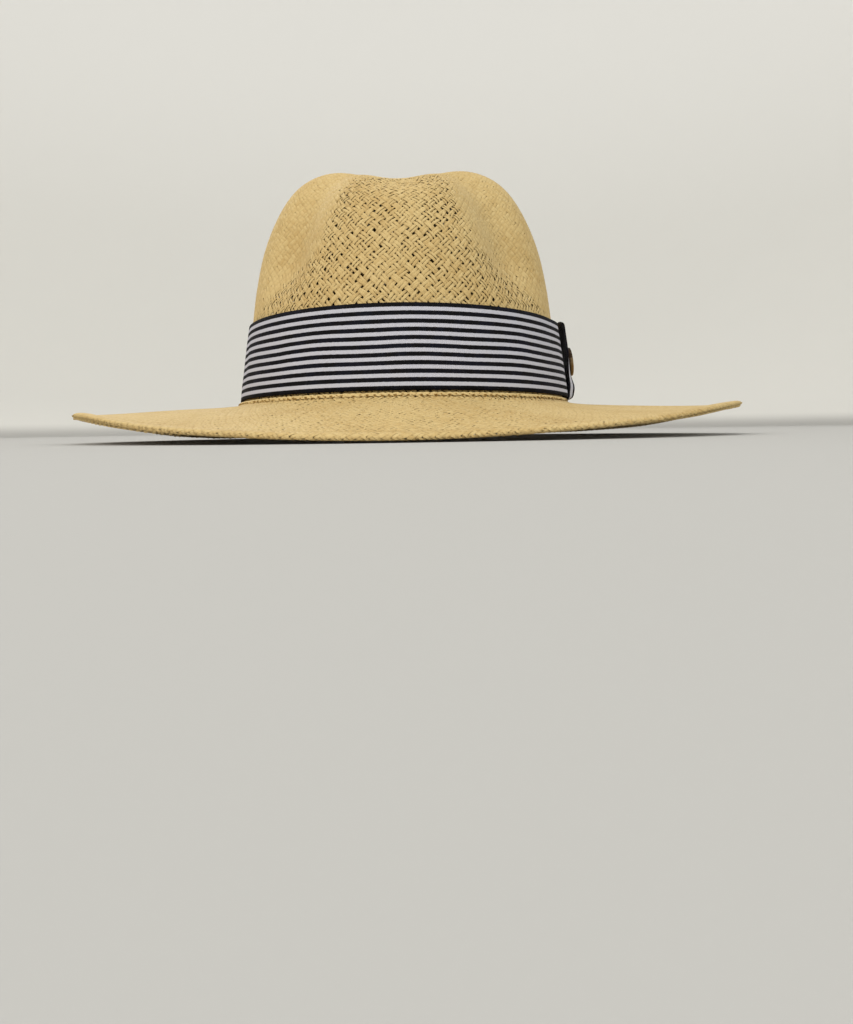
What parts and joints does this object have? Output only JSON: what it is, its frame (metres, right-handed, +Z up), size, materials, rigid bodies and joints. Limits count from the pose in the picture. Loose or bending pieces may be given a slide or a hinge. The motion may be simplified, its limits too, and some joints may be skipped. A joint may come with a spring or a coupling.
{
  "type": "woven straw fedora",
  "caption": "Wide-brimmed woven straw fedora with a dented and pinched crown, a striped ribbon band, an upright ribbon keeper and a round metal emblem.",
  "frame": {"origin": "on the surface that the hat rests on, under the middle of its bounding box", "axes": "+Z up, -Y towards the front of the hat, +X towards the wearer's left"},
  "size_m": [0.3372, 0.366, 0.1353],
  "materials": {
    "straw_crown": "open woven paper straw, satin",
    "straw_brim": "close woven paper straw, satin",
    "ribbon": "navy and pale grey striped grosgrain ribbon, matt",
    "emblem_metal": "antiqued brass, brushed, darker in its hollow"
  },
  "bodies": {
    "root": {"crown": "straw_crown", "brim": "straw_brim", "hat_band": "ribbon", "band_keeper": "ribbon", "emblem": "emblem_metal"}
  },
  "joints": []
}
